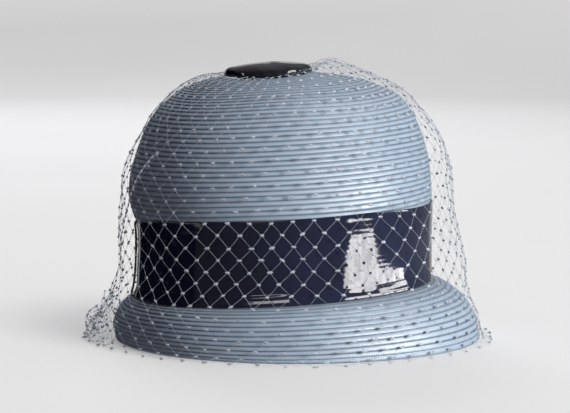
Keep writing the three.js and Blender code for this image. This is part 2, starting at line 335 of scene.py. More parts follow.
# -------------------------------------------------------------- brim surface
_b = np.diff(BRIM, axis=0)
BRIM_S = np.concatenate([[0], np.cumsum(np.sqrt(
    (_b[:, 0]**2 + _b[:, 1]**2 + _b[:, 4]**2 + _b[:, 5]**2 + 2 * (_b[:, 2]**2 + _b[:, 3]**2)) / 4))])


def skirt(row, a):
    f, fz, sd, sz, b, bz = np.moveaxis(row, -1, 0)
    c = np.cos(a)
    z = sz + ((fz + bz) / 2 - sz) * c * c + (fz - bz) / 2 * c
    return np.stack([(f + b) / 2 + (f - b) / 2 * c, sd * np.sin(a), z], -1)


def brim_at_s(s, a):
    return skirt(spline(BRIM_S, BRIM, np.clip(s, -0.3, BRIM_S[-1])), a)


def make_brim():
    N = 220
    L = BRIM_S[-1]
    a = np.arange(N) / N * TAU
    edge = 3.0                                   # the bound edge takes this much
    rows = int(round((L - edge) / RIB))
    pitch = (L - edge) / rows
    s, h, v = [], [], []
    for k in range(rows):
        # the rows of the brim lap the same way: the lower edge stands over the next
        for vv, hh in zip(1 - ROW_V[::-1], ROW_H[::-1]):
            if k == 0 and vv < 0.05:
                continue
            s.append((k + vv) * pitch); h.append(hh); v.append(k + vv)
    s.append(L - edge); h.append(0.0); v.append(float(rows))
    s, h, v = np.array(s), np.array(h), np.array(v)
    base, n, outer = ribbed(brim_at_s, s, h, N, lift=0.46, sway=0.12)
    inner = base - n * (STRAW - 0.5 * RIB_HIGH * h[:, None, None])
    stand_o = np.stack([crown_at_level(np.full(N, lv), a) for lv in (HEM - 0.5, 40.0, 34.5)])
    stand_n = normals_of(stand_o)
    stand_i = stand_o - stand_n * STRAW
    stand_i[0, :, 2] = stand_o[0, :, 2]
    # bound edge: a rolled bead that stands on the rim plane
    rim = brim_at_s(np.full(N, L), a)
    tang = np.roll(rim, -1, 0) - np.roll(rim, 1, 0)
    out = np.stack([tang[:, 1], -tang[:, 0], np.zeros(N)], -1)
    out /= np.linalg.norm(out, axis=-1, keepdims=True)
    bead = [(-0.30, 3.0), (-0.42, 2.72), (0.12, 2.42), (0.46, 1.85), (0.52, 1.15), (0.34, 0.5),
            (-0.1, 0.1), (-0.6, 0.0), (-1.3, 0.0), (-1.85, 0.2), (-2.2, 0.8), (-2.25, 1.6), (-2.0, 2.3), (-1.8, 2.9)]
    lean = outer[-1] - (rim + out * -0.3 + np.array([0, 0, 3.0]))
    rings = [outer[-1] * 0 + rim + out * o + np.array([0, 0, z]) + lean * min(1, max(0, z / 3.0)) for o, z in bead]
    bead = np.stack(rings)
    rings = np.concatenate([stand_o, outer, bead, inner[::-1], stand_i[::-1]])
    vs = np.concatenate([[0, 0, 0], v, np.full(len(bead), rows + 0.5), v[::-1], [0, 0, 0]])
    R = len(rings)
    faces = ring_faces(R, N, True)
    return add_mesh("brim_straw", rings.reshape(-1, 3), faces.tolist(), ring_uvs(R, N, vs, True))


# ---------------------------------------------------------------------- band
band_wave = Waves(21, 9, 1 / 60)
band_small = Waves(22, 46, 1 / 9, 14)
band_mid = Waves(23, 20, 1 / 18, 12)


def make_band():
    N = 320
    a = np.arange(N) / N * TAU
    high = band_high(a)
    tall = high - BAND_LOW
    fb = from_back(a)
    near = np.sin(a) < 0                          # the wearer's right side

    def face(t, off, dz=0.0, ripple=1.0):
        level = BAND_LOW + tall * t + dz
        A = a
        up = tall * t                             # mm above the lower edge
        down = tall * (1 - t)                     # mm under the upper edge
        flare = (BAND_FLARE + BAND_FLARE_BACK * (1 - np.cos(a)) / 2) * np.maximum(0, 1 - t / 0.14)
        flare = flare + 2.1 * np.exp(-(fb / 52.0)**2) * max(0.0, 1 - t / 0.92)**1.3
        d = 0.30 * np.exp(-((up - 1.7) / 1.5)**2)
        d = d + 0.16 * band_wave(A, level) * smooth(up / 8) * smooth(down / 6)
        d = d + 0.007 * np.sin(TAU * level / RIB + 2.2 * row_sway(A, level)) * (0.6 + 0.8 * band_mid(A, level))
        d = d + 0.018 * band_mid(A, level) + 0.004 * band_small(A, level)
        # fold along the upper edge towards the back, and a short one further forward
        fold = np.exp(-((np.where(near, fb, fb + 9) - 56) / 15.0)**4) * 1.0
        fold = fold + 0.02 * np.exp(-((np.where(near, fb, fb - 7) - 124) / 7.0)**4)
        d = d + fold * 1.05 * np.where(down < 4.2, np.clip(down / 4.2, 0, 1), np.exp(-((down - 4.2) / 3.2)**2))
        # soft pleat near the lower edge on the side
        streak = np.exp(-((fb - 82 + 0.4 * up) / 9.0)**4)
        d = d + streak * 0.38 * np.exp(-((up - 5.4 - 0.05 * (fb - 82)) / 1.1)**2)
        p = crown_at_level(level, a, off + flare + d * ripple)
        p[:, 2] = level + ROW_SLOPE * (p[:, 0] - AXIS_X)
        return p

    o = GAP + PATENT
    rings = [face(1, GAP + 0.25, -0.35, 0), face(1, GAP + 0.55, 0.0, 0.3), face(1, o - 0.22, 0.0, 0.6), face(1, o - 0.02, -0.28, 0.9)]
    ts = np.linspace(0, 1, 86)[1:-1][::-1]
    rings += [face(t, o) for t in ts]
    rings += [face(0, o + 0.02, 0.35, 1), face(0, o - 0.16, 0.02, 1), face(0, o - 0.5, -0.18, 1), face(0, o - 0.85, -0.12, 1), face(0, GAP + 0.05, 0.2, 0)]
    rings += [face(t, GAP, 0, 0) for t in (0.14, 0.3, 0.5, 0.7, 0.86)]
    P = np.stack(rings)
    R = len(P)
    v = np.concatenate([[1] * 4, ts, [0] * 5, [0.14, 0.3, 0.5, 0.7, 0.86]])
    return add_mesh("band_patent", P.reshape(-1, 3), ring_faces(R, N, True).tolist(), ring_uvs(R, N, v, True))


# ------------------------------------------------------------------ back tab
def make_tab():
    """Keeper strip over the band's ends: tucked over the upper edge, standing off
    the band on its way down, and tucked in at the brim."""
    top = float(band_high(np.array(math.pi))) + ROW_SLOPE * (-100.3 - AXIS_X)
    zx = [(top - 5.0, -100.9 + 1.3), (top - 1.0, -100.0 + 0.6), (top + 0.9, -101.0), (top - 0.6, -102.0)]
    zx += [(69.5, -101.7), (60.1, -101.7), (50.7, -101.9), (40.8, -102.4), (33.0, -103.4),
           (29.6, -104.5), (27.9, -104.7), (27.6, -103.7)]
    zx = np.array(zx)
    d = np.concatenate([[0], np.cumsum(np.hypot(*np.diff(zx, axis=0).T))])
    q = np.linspace(0, d[-1], 70)
    path = spline(d, zx, q)
    t = np.gradient(path, axis=0)
    t /= np.linalg.norm(t, axis=1, keepdims=True)
    nz, nx = t[:, 1], -t[:, 0]                    # normal in the (z, x) plane, away from the band
    M = 22
    w = np.linspace(-1, 1, M)
    y = w * TAB_WIDTH / 2
    thick = 1.15
    crown_ = (1 - np.abs(w)**6)                   # rolled long edges
    rings = []
    wob = Waves(31, 3, 1 / 18)
    for k in range(len(q)):
        bend = y * y / (2 * TAB_BEND)
        lift = 0.12 * wob(w * 2.2, q[k]) + 0.16 * np.exp(-((np.abs(w) - 0.86) / 0.1)**2)
        outer = np.stack([path[k, 1] + bend + nx[k] * lift, y, path[k, 0] + nz[k] * lift], -1)
        half = thick * (0.35 + 0.65 * crown_)
        inner = np.stack([outer[:, 0] - nx[k] * half, y, outer[:, 2] - nz[k] * half], -1)
        rings.append(np.vstack([outer, inner[::-1]]))
    P = np.stack(rings)
    R, N = P.shape[:2]
    faces = ring_faces(R, N, False)[:, ::-1].tolist()
    faces.append(list(range(N)))
    faces.append([(R - 1) * N + i for i in range(N)][::-1])
    u = np.tile(np.concatenate([w, w[::-1]]) * 0.5 + 0.5, (R, 1))
    ob = add_mesh("tab_patent", P.reshape(-1, 3), faces)
    return ob


# -------------------------------------------------------------------- button
def make_button():
    N, M = 192, 44
    a = np.arange(N) / N * TAU
    dent = Waves(41, 6, 1 / 30)
    gather = Waves(42, 30, 0.0, 8)

    def at(r, h, wavy=1.0):
        """r as a share of the radius, h over the straw."""
        edge = smooth((r - 0.72) / 0.28)
        rr = BUTTON_R * r * (1 + wavy * edge * 0.006 * gather(a, 0 * a))
        x, y = BUTTON_X + rr * np.cos(a), rr * np.sin(a)
        # the straw falls away under the disc, and the stiff disc bridges it
        z = crown_height(x, y)
        lift = h + 0.10 * dent(a, rr) * (1 - edge) + 0.14 * edge * gather(a + 0.13, 0 * a) * wavy
        return np.stack([x, y, z + GAP + 0.1 + lift], -1)

    rings, vs = [], []
    for k in range(M):
        r = 0.015 + (1 - 0.015) * (k / (M - 1))**0.85
        dome = BUTTON_EDGE + (BUTTON_RISE - BUTTON_EDGE) * math.sqrt(max(0.0, 1 - r**2.4))
        rings.append(at(r, dome)); vs.append(r)
    for da, dh in ((1.010, 3.5), (1.020, 2.8), (1.024, 1.9), (1.016, 1.0), (0.985, 0.35)):
        rings.append(at(da, dh)); vs.append(1.0)
    for r in (0.9, 0.7, 0.45, 0.2, 0.02):
        rings.append(at(r, 0.15, 0)); vs.append(r)
    P = np.stack(rings)
    R = len(P)
    verts = np.vstack([P.reshape(-1, 3), P[0].mean(0), P[-1].mean(0)])
    t, u = R * N, R * N + 1
    end = (R - 1) * N
    faces = ring_faces(R, N, False).tolist()
    for i in range(N):
        j = (i + 1) % N
        faces.append((t, i, j))
        faces.append((u, end + j, end + i))
    return add_mesh("button_patent", verts, faces)


# ---------------------------------------------------------------------- veil
_v = np.diff(VEIL, axis=0)
VEIL_S = np.concatenate([[0], np.cumsum(np.sqrt(
    (_v[:, 0]**2 + _v[:, 1]**2 + _v[:, 4]**2 + _v[:, 5]**2 + 2 * (_v[:, 2]**2 + _v[:, 3]**2)) / 4))])
net_far = Waves(51, 6, 1 / 90)
net_mid = Waves(52, 14, 1 / 35)
net_side = Waves(53, 7, 1 / 70)


def veil_surface(s, a):
    row = spline(VEIL_S, VEIL, s)
    a2 = a + 0.018 * net_side(a, s) * smooth(s / 30)
    p = skirt(row, a2)
    fb = from_back(a2)
    fade = 1 - smooth((p[..., 2] - 6) / (BUNCH_HIGH - 6))
    out = BUNCH_OUT * np.exp(-((fb / BUNCH_ANGLE)**2)) * fade
    # gathers that run out from under the button, and slack lower down
    near = np.exp(-(s / 30.0)**2)
    front = np.exp(-(np.degrees(np.abs(np.mod(a2 + math.pi, TAU) - math.pi)) / 42)**2)
    pleat = np.sin(17 * a2 + 2.2 * np.sin(3 * a2 + 1)) * 0.5 + 0.5
    up = near * pleat * (0.45 + 3.0 * front) * smooth(s / 9)
    low = smooth((s - 120) / 60)
    out = out + (0.55 * net_far(a2, s) + 0.35 * net_mid(a2, s)) * smooth(s / 60) * (0.6 + 1.0 * low)
    out = out + 1.3 * low * (0.5 + 0.5 * np.sin(11 * a2 + 1.7 * np.sin(2 * a2))) * smooth(p[..., 2] / 6 + 0.4)
    p = p.copy()
    p[..., 0] += out * np.cos(a2)
    p[..., 1] += out * np.sin(a2)
    p[..., 2] += up
    flat = 1 - smooth(p[..., 2] / 5.0)
    p[..., 2] = np.maximum(p[..., 2], 0.45) + flat * 0.7 * (0.5 + 0.5 * net_mid(a2 + 1, s * 2))
    return p


def net_rows():
    a = np.arange(360) / 360 * TAU
    s, out = 0.0, [0.0]
    while s < VEIL_S[-1]:
        p = veil_surface(np.full(360, s), a)
        round_ = np.linalg.norm(np.roll(p, -1, 0) - p, axis=1).sum()
        w = min(round_ / MESH_COLUMNS / 2, MESH_SIDE * 0.95)
        s += math.sqrt(MESH_SIDE**2 - w * w)
        out.append(s)
    out = np.array(out)
    return out * (VEIL_S[-1] / out[-1])


def push_out(points, tree, clear):
    """Moves points that lie in or too near the hat out along its surface's normal."""
    q = points.copy()
    for i, p in enumerate(points):
        loc, n, _, dist = tree.find_nearest(Vector(p), 14.0)
        if loc is None:
            continue
        d = (Vector(p) - loc).dot(n)
        if d < clear:
            q[i] = np.array(loc + n * clear)
    return q


def tuck_in(points):
    """The net lies on the straw where it comes out from under the button."""
    q = points.reshape(-1, 3)
    out = np.hypot(q[:, 0] - BUTTON_X, q[:, 1]) - BUTTON_R
    sel = out < 7.0
    low = crown_height(q[sel, 0], q[sel, 1]) + 0.75
    w = 1 - smooth((out[sel] - 1.2) / 5.5)
    q[sel, 2] = np.minimum(q[sel, 2], q[sel, 2] * (1 - w) + low * w)
    return q.reshape(points.shape)


def hat_tree(hat):
    vs, fs, off = [], [], 0
    for o in hat:
        me = o.data
        co = np.empty(len(me.vertices) * 3)
        me.vertices.foreach_get("co", co)
        co = co.reshape(-1, 3) * 1000
        co[:, 0] -= SHIFT
        vs.append(co)
        fs += [[i + off for i in p.vertices] for p in me.polygons]
        off += len(co)
    return BVHTree.FromPolygons(np.vstack(vs).tolist(), fs)


def unit(v):
    return v / (np.linalg.norm(v, axis=-1, keepdims=True) + 1e-9)


def thread_tubes(P, radius, G=5):
    """Vertices and faces of round threads along P, which is (threads, points, 3)."""
    T, m = P.shape[:2]
    tan = unit(np.gradient(P, axis=1))
    ref = np.zeros_like(tan); ref[..., 2] = 1.0
    ref[np.abs(tan[..., 2]) > 0.9] = (1.0, 0.0, 0.0)
    u = unit(np.cross(tan, ref))
    w = np.cross(tan, u)
    g = np.arange(G) / G * TAU
    ring = P[:, :, None, :] + radius * (np.cos(g)[None, None, :, None] * u[:, :, None, :]
                                        + np.sin(g)[None, None, :, None] * w[:, :, None, :])
    base = (np.arange(T) * m * G)[:, None]
    faces = (base[:, :, None] + ring_faces(m, G, False)[None]).reshape(-1, 4)[:, ::-1].tolist()
    for t in range(T):
        b = t * m * G
        faces.append([b + i for i in range(G)])
        faces.append([b + (m - 1) * G + i for i in range(G)][::-1])
    return ring.reshape(-1, 3), faces


# one knot: (place along it, thickness) of its rings, longer across than tall
KNOT = [(-0.86, 0.42), (-0.45, 0.92), (0.0, 1.0), (0.45, 0.92), (0.86, 0.42)]


def knot_beads(K, right, up, half, vary=0.10, turn=0.20, grow=1.0):
    """Small knotted lumps at K, `half` = half length, half height, half depth."""
    nrm = unit(np.cross(right, up))
    up = np.cross(nrm, right)
    t = RNG.normal(0, turn, len(K))
    c, s_ = np.cos(t)[:, None], np.sin(t)[:, None]
    right, up = right * c + up * s_, up * c - right * s_
    size = (1 + RNG.normal(0, vary, (len(K), 3))) * np.reshape(grow, (-1, 1))
    q6 = np.arange(6) / 6 * TAU
    pts = [(lx, rr * math.cos(q), rr * math.sin(q)) for lx, rr in KNOT for q in q6]
    pts = np.array(pts + [(-1.0, 0, 0), (1.0, 0, 0)])
    V = K[:, None]
    for k, axis in enumerate((right, up, nrm)):
        V = V + axis[:, None] * (pts[None, :, k:k + 1] * half[k] * size[:, None, k:k + 1])
    V[..., 2] = np.maximum(V[..., 2], 0.04)
    R, nv = len(KNOT), len(pts)
    one = ring_faces(R, 6, False)[:, ::-1].tolist()
    faces = []
    for k in range(len(K)):
        b = k * nv
        faces += [[b + i for i in q] for q in one]
        for i in range(6):
            j = (i + 1) % 6
            faces.append((b + 6 * R, b + i, b + j))
            faces.append((b + 6 * R + 1, b + 6 * (R - 1) + j, b + 6 * (R - 1) + i))
    return V.reshape(-1, 3), faces


def joined(name, parts):
    vs, fs, off = [], [], 0
    for v, f in parts:
        vs.append(v)
        fs += [[i + off for i in q] for q in f]
        off += len(v)
    return add_mesh(name, np.vstack(vs), fs)


def make_net(tree):
    rows = net_rows()
    J, N = len(rows), MESH_COLUMNS
    step = TAU / N
    ja = np.array([[(i + 0.5 * (j % 2)) * step for i in range(N)] for j in range(J)])
    js = np.repeat(rows[:, None], N, 1)
    jit_a = RNG.normal(0, 0.032, (J, N)) * step * smooth(js / 25)
    jit_s = RNG.normal(0, 0.26, (J, N)) * smooth(js / 25)
    jit_s[1:] += RNG.normal(0, 1.5, (J - 1, N)) * np.exp(-(js[1:] / 20)**2)
    jit_s[-1] += RNG.normal(0, 0.7, N)
    ja2, js2 = ja + jit_a, np.clip(js + jit_s, 0, VEIL_S[-1])
    knots = veil_surface(js2, ja2)
    loose = RNG.normal(0, 0.45, (J, N, 1)) * smooth(js / 60)[..., None]
    knots = knots + loose * unit(knots * (1, 1, 0) + (7, 0, 0))
    knots[1:] = push_out(knots[1:].reshape(-1, 3), tree, 0.85).reshape(J - 1, N, 3)
    knots = tuck_in(knots)
    # the first row is caught under the button
    knots[0, :, 2] = crown_height(knots[0, :, 0], knots[0, :, 1]) + 0.4

    # threads: from each knot to the two knots under it
    start, stop, sa, sb = [], [], [], []
    for j in range(J - 1):
        for i in range(N):
            for k in (0, 1):
                i2 = (i - 1 + k) % N if j % 2 == 0 else (i + k) % N
                da = (k - 0.5) * step
                start.append((j, i)); stop.append((j + 1, i2))
                sa.append((ja[j, i] + jit_a[j, i], js2[j, i]))
                sb.append((ja[j, i] + da + jit_a[j + 1, i2], js2[j + 1, i2]))
    start, stop = np.array(start), np.array(stop)
    sa, sb = np.array(sa), np.array(sb)
    T, m = len(sa), 5
    f = np.linspace(0, 1, m)[None, :]
    A = sa[:, :1] * (1 - f) + sb[:, :1] * f
    S = sa[:, 1:] * (1 - f) + sb[:, 1:] * f
    P = veil_surface(S, A)
    k0, k1 = knots[start[:, 0], start[:, 1]], knots[stop[:, 0], stop[:, 1]]
    e0, e1 = k0 - P[:, 0], k1 - P[:, -1]
    P = P + e0[:, None, :] * (1 - f)[..., None] + e1[:, None, :] * f[..., None]
    # a little sideways slack in each thread
    P = P + RNG.normal(0, 0.12, (T, 1, 3)) * (4 * f * (1 - f))[..., None]
    free = start[:, 0] > 0
    P[free, 1:-1] = push_out(P[free, 1:-1].reshape(-1, 3), tree, 0.42).reshape(-1, m - 2, 3)
    P[:, 1:-1] = tuck_in(P[:, 1:-1])
    P[..., 2] = np.maximum(P[..., 2], THREAD_R + 0.06)
    threads = joined("veil_threads", [thread_tubes(P, THREAD_R)])

    right = unit(np.roll(knots, -1, 1) - np.roll(knots, 1, 1))
    up = np.empty_like(knots)
    up[1:-1] = knots[:-2] - knots[2:]
    up[0] = knots[0] - knots[1]; up[-1] = knots[-2] - knots[-1]
    # gathered knots are drawn small and close, and those under the button don't show
    grow = 0.42 + 0.58 * smooth(js2 / 48)
    show = np.hypot(knots[..., 0] - BUTTON_X, knots[..., 1]) > BUTTON_R + 2.2
    ties = joined("veil_knots", [knot_beads(knots[show], right[show], up[show], (1.62, 0.78, 0.62),
                                            grow=grow[show])])
    return threads, ties


def veil_s_at(a, level):
    """Length down the veil at which it is as high as `level`, for one angle."""
    q = np.linspace(20, VEIL_S[-1], 260)
    z = veil_surface(q, np.full_like(q, a))[:, 2]
    return float(np.interp(-level, -z, q))


def make_gather(tree):
    """Where the net's two ends meet: a close line of stitches up the back, and the
    spare net folded into a loose bunch behind the brim."""
    parts = []
    # the joining line runs aslant, from the side of the crown to the middle of the back
    q = np.linspace(0, 1, 64)
    back = 37.0 - 27.0 * q**0.8
    level = 122.0 - 62.0 * q
    path = []
    for b, lv in zip(back, level):
        a = math.radians(180 + b)
        path.append(veil_surface(np.array([veil_s_at(a, lv)]), np.array([a]))[0])
    path = push_out(np.array(path), tree, 0.95)
    d = np.concatenate([[0], np.cumsum(np.linalg.norm(np.diff(path, axis=0), axis=1))])
    at = np.arange(0.6, d[-1], 4.3)
    at = at + RNG.normal(0, 0.3, len(at))
    K = np.stack([np.interp(at, d, path[:, k]) for k in range(3)], -1)
    K = K + RNG.normal(0, 0.16, K.shape)
    t = unit(np.gradient(K, axis=0))
    side = np.cross(t, unit(K * (1, 1, 0) + (7, 0, 0)))
    parts.append(knot_beads(K, t, side, (1.45, 0.72, 0.55), 0.14, 0.12))
    for off in (-0.28, 0.3):
        line = np.stack([np.interp(np.linspace(0, d[-1], 70), d, path[:, k]) for k in range(3)], -1)
        line = line + np.cross(unit(np.gradient(line, axis=0)), unit(line * (1, 1, 0) + (7, 0, 0))) * off
        line = line + RNG.normal(0, 0.09, line.shape)
        parts.append(thread_tubes(line[None], THREAD_R))
    # the bunch: two more layers of net behind the low back of the brim
    for layer, (half, cols, rise, stand) in enumerate(((25.0, 8, 27.0, 2.6), (17.0, 6, 16.0, 4.6))):
        R = 7
        w = Waves(60 + layer, 5, 1 / 30)
        gi, gj = np.meshgrid(np.arange(cols), np.arange(R), indexing="xy")
        x = (gi + 0.5 * (gj % 2)) / (cols - 0.5) * 2 - 1
        y = gj / (R - 1.0)
        x = x + RNG.normal(0, 0.035, x.shape)
        y = np.clip(y + RNG.normal(0, 0.03, y.shape) * (gj > 0), 0, 1)

        def place(x, y):
            a = np.radians(180 + half * x * (0.72 + 0.28 * y)) + 0.03 * w(x * 3, y * 30)
            lv = 1.0 + rise * (1 - y)**1.15
            s_mid = np.interp(-lv, -z_tab, s_tab)
            p = veil_surface(s_mid, a)
            r = stand * (np.sin(np.pi * np.clip(0.12 + 0.8 * y, 0, 1))) * (1 - 0.55 * np.abs(x)**3)
            r = r + 1.1 * w(a * 4, lv * 2) + 0.9 * np.sin(a * 37 + 2 * y)
            p = p.copy()
            p[..., 0] += r * np.cos(a)
            p[..., 1] += r * np.sin(a)
            p[..., 2] = np.maximum(lv + 0.8 * w(a * 5 + 1, lv), 0.5)
            return p
        s_tab = np.linspace(60, VEIL_S[-1], 200)
        z_tab = veil_surface(s_tab, np.full_like(s_tab, math.pi))[:, 2]
        K = push_out(place(x, y).reshape(-1, 3), tree, 0.8).reshape(R, cols, 3)
        P = []
        f = np.linspace(0, 1, 4)
        for j in range(R - 1):
            for i in range(cols):
                for k in (0, 1):
                    i2 = i - 1 + k if j % 2 == 0 else i + k
                    if not 0 <= i2 < cols:
                        continue
                    p = place(x[j, i] * (1 - f) + x[j + 1, i2] * f, y[j, i] * (1 - f) + y[j + 1, i2] * f)
                    p = p + (K[j, i] - p[0]) * (1 - f)[:, None] + (K[j + 1, i2] - p[-1]) * f[:, None]
                    P.append(p)
        P = np.array(P)
        P[:, 1:-1] = push_out(P[:, 1:-1].reshape(-1, 3), tree, 0.42).reshape(len(P), -1, 3)
        P[..., 2] = np.maximum(P[..., 2], THREAD_R + 0.06)
        parts.append(thread_tubes(P, THREAD_R))
        right = unit(np.gradient(K, axis=1)).reshape(-1, 3)
        up = -np.gradient(K, axis=0).reshape(-1, 3)
        parts.append(knot_beads(K.reshape(-1, 3), right, up, (1.2, 0.6, 0.5), 0.14, 0.5))
    return joined("veil_gather", parts)


# ----------------------------------------------------------------- materials
class Tree:
    def __init__(self, name):
        self.mat = bpy.data.materials.new(name)
        self.mat.use_nodes = True
        self.t = self.mat.node_tree
        self.t.nodes.clear()
        self.out = self.t.nodes.new("ShaderNodeOutputMaterial")
        self.bsdf = self.t.nodes.new("ShaderNodeBsdfPrincipled")
        self.link(self.bsdf.outputs[0], self.out.inputs[0])

    def link(self, a, b):
        self.t.links.new(a, b)

    def put(self, socket, value):
        if hasattr(value, "links") or isinstance(value, bpy.types.NodeSocket):
            self.link(value, socket)
        else:
            socket.default_value = value

    def node(self, kind, **props):
        n = self.t.nodes.new(kind)
        for k, v in props.items():
            setattr(n, k, v)
        return n

    def math(self, op, a, b=0.0, c=None):
        n = self.node("ShaderNodeMath", operation=op)
        self.put(n.inputs[0], a)
        self.put(n.inputs[1], b)
        if c is not None:
            self.put(n.inputs[2], c)
        return n.outputs[0]

    def noise(self, vec, scale, detail=2.0, rough=0.5):
        n = self.node("ShaderNodeTexNoise")
        self.link(vec, n.inputs["Vector"])
        n.inputs["Scale"].default_value = scale
        n.inputs["Detail"].default_value = detail
        n.inputs["Roughness"].default_value = rough
        return n.outputs["Fac"]

    def mix(self, fac, a, b):
        n = self.node("ShaderNodeMix", data_type="RGBA")
        self.put(n.inputs[0], fac)
        self.put(n.inputs[6], a)
        self.put(n.inputs[7], b)
        return n.outputs[2]

    def span(self, value, lo, hi, to_lo=0.0, to_hi=1.0):
        n = self.node("ShaderNodeMapRange")
        self.put(n.inputs[0], value)
        n.inputs[1].default_value, n.inputs[2].default_value = lo, hi
        n.inputs[3].default_value, n.inputs[4].default_value = to_lo, to_hi
        return n.outputs[0]

    def bump(self, height, dist, strength=1.0, normal=None):
        n = self.node("ShaderNodeBump")
        n.inputs["Strength"].default_value = strength
        n.inputs["Distance"].default_value = dist
        self.link(height, n.inputs["Height"])
        if normal is not None:
            self.link(normal, n.inputs["Normal"])
        return n.outputs[0]


def straw_material(name, stitches, crease_shade_strength):
    m = Tree(name)
    uv = m.node("ShaderNodeUVMap", uv_map="braid").outputs[0]
    sep = m.node("ShaderNodeSeparateXYZ"); m.link(uv, sep.inputs[0])
    obj = m.node("ShaderNodeTexCoord").outputs["Object"]
    u, v = sep.outputs[0], sep.outputs[1]
    row = m.math("FRACT", v)
    index = m.math("FLOOR", v)
    # plaited strands: a chevron along each row
    tri = m.math("ABSOLUTE", m.math("SUBTRACT", row, 0.5))
    phase = m.math("ADD", m.math("MULTIPLY", u, float(stitches)), m.math("MULTIPLY", tri, 1.5))
    phase = m.math("ADD", phase, m.math("MULTIPLY", index, 0.37))
    strand = m.math("SINE", m.math("MULTIPLY", phase, TAU))
    strand = m.span(strand, -1, 1)
    fine = m.noise(obj, 900.0, 3.0, 0.6)
    mid = m.noise(obj, 120.0, 2.0)
    wide = m.noise(obj, 14.0, 2.0)
    per_row = m.node("ShaderNodeTexWhiteNoise", noise_dimensions="1D")
    m.link(index, per_row.inputs["W"])
    # painted shade: darker at both ends of each row, in the creases where the rows of braid meet
    low = m.span(row, 0.0, 0.34, 1.0, 0.0)
    high = m.span(row, 0.58, 1.0, 0.0, 1.0)
    crease_shade = m.math("MAXIMUM", low, high)
    # the first colour is the painted shade laid into the creases; the other three are the straw's own tones, which the
    # strand marks below also use for painted shade and light
    crease_shade_colour = (0.045, 0.062, 0.095, 1)
    dark = (0.125, 0.165, 0.235, 1)
    base = (0.215, 0.285, 0.362, 1)
    pale = (0.345, 0.425, 0.500, 1)
    # painted light and shade of the plait: paler on the strands' raised middles and darker in the gaps between them,
    # following the same height as the bump
    strand_gap_shade = m.span(strand, 0.0, 0.32, 0.55, 0.0)
    col = m.mix(m.span(strand, 0.1, 0.9, 0.0, 1.0), base, pale)
    col = m.mix(strand_gap_shade, col, dark)
    col = m.mix(m.math("MULTIPLY", m.span(fine, 0.35, 0.7), 0.35), col, base)
    col = m.mix(m.math("MULTIPLY", m.span(per_row.outputs["Value"], 0, 1), 0.22), col, dark)
    col = m.mix(m.math("MULTIPLY", m.span(wide, 0.4, 0.7), 0.25), col, pale)
    # painted shade in the creases, as strong as the function's last argument
    col = m.mix(m.math("MULTIPLY", m.math("POWER", crease_shade, 1.5), crease_shade_strength), col, crease_shade_colour)
    m.link(col, m.bsdf.inputs["Base Color"])
    place = m.node("ShaderNodeSeparateXYZ"); m.link(obj, place.inputs[0])
    worn = m.span(place.outputs[2], 0.135, 0.163, 0.0, 0.16)
    m.link(m.math("ADD", m.span(mid, 0.3, 0.7, 0.32, 0.42), worn), m.bsdf.inputs["Roughness"])
    m.bsdf.inputs["IOR"].default_value = 1.66
    m.bsdf.inputs["Sheen Weight"].default_value = 0.06
    m.bsdf.inputs["Sheen Roughness"].default_value = 0.5
    height = m.math("ADD", m.math("MULTIPLY", strand, 0.7), m.math("MULTIPLY", fine, 0.5))
    m.link(m.bump(height, 0.00012, 1.0), m.bsdf.inputs["Normal"])
    return m.mat


def patent_material(name, low, high):
    m = Tree(name)
    obj = m.node("ShaderNodeTexCoord").outputs["Object"]
    wide = m.noise(obj, 26.0, 3.0, 0.55)
    fine = m.noise(obj, 420.0, 3.0, 0.6)
    smear = m.noise(obj, 60.0, 4.0, 0.65)
    col = m.mix(m.span(wide, 0.3, 0.7), low, high)
    m.link(col, m.bsdf.inputs["Base Color"])
    m.link(m.span(smear, 0.35, 0.75, 0.035, 0.10), m.bsdf.inputs["Roughness"])
    m.bsdf.inputs["IOR"].default_value = 1.42
    height = m.math("ADD", m.math("MULTIPLY", wide, 1.0), m.math("MULTIPLY", fine, 0.06))
    m.link(m.bump(height, 0.0006, 0.5), m.bsdf.inputs["Normal"])
    return m.mat


def net_material(name, lift):
    m = Tree(name)
    obj = m.node("ShaderNodeTexCoord").outputs["Object"]
    wide = m.noise(obj, 40.0, 2.0)
    fine = m.noise(obj, 2500.0, 2.0)
    # the tones are scaled by the second argument; above 1 it makes a lighter copy of the net, painted light for net
    # that lies in shade
    col = m.mix(m.span(wide, 0.3, 0.7), tuple(lift * c for c in (0.235, 0.26, 0.30)) + (1,),
                tuple(lift * c for c in (0.34, 0.37, 0.41)) + (1,))
    col = m.mix(m.math("MULTIPLY", fine, 0.4), col, tuple(lift * c for c in (0.22, 0.25, 0.31)) + (1,))
    m.link(col, m.bsdf.inputs["Base Color"])
    m.link(m.span(fine, 0.3, 0.7, 0.52, 0.68), m.bsdf.inputs["Roughness"])
    m.bsdf.inputs["Sheen Weight"].default_value = 0.2
    m.link(m.bump(fine, 0.0001, 0.6), m.bsdf.inputs["Normal"])
    return m.mat


# -------------------------------------------------------------------- pieces
crown = make_crown()
brim = make_brim()
band = make_band()
tab = make_tab()
tab.data.flip_normals()                         # its rings run the other way round
button = make_button()
tree = hat_tree([crown, brim, band, tab, button])
threads, ties = make_net(tree)
gather = make_gather(tree)

# the last number sets how strongly painted shade darkens the creases between rows
crown.data.materials.append(straw_material("straw", 420, 0.88))
brim.data.materials.append(straw_material("straw_brim", 470, 0.88))
patent = patent_material("patent", (0.005, 0.0065, 0.018, 1), (0.010, 0.013, 0.034, 1))
for o in (band, tab):
    o.data.materials.append(patent)
button.data.materials.append(patent_material("patent_button", (0.003, 0.0035, 0.006, 1), (0.006, 0.007, 0.012, 1)))
net = net_material("net", 1.0)
for o in (threads, ties):
    o.data.materials.append(net)
# the bunch behind the brim gets a copy of the net 1.5 times lighter: painted light on net that lies in shade
gather.data.materials.append(net_material("net_bunch_painted_light", 1.5))

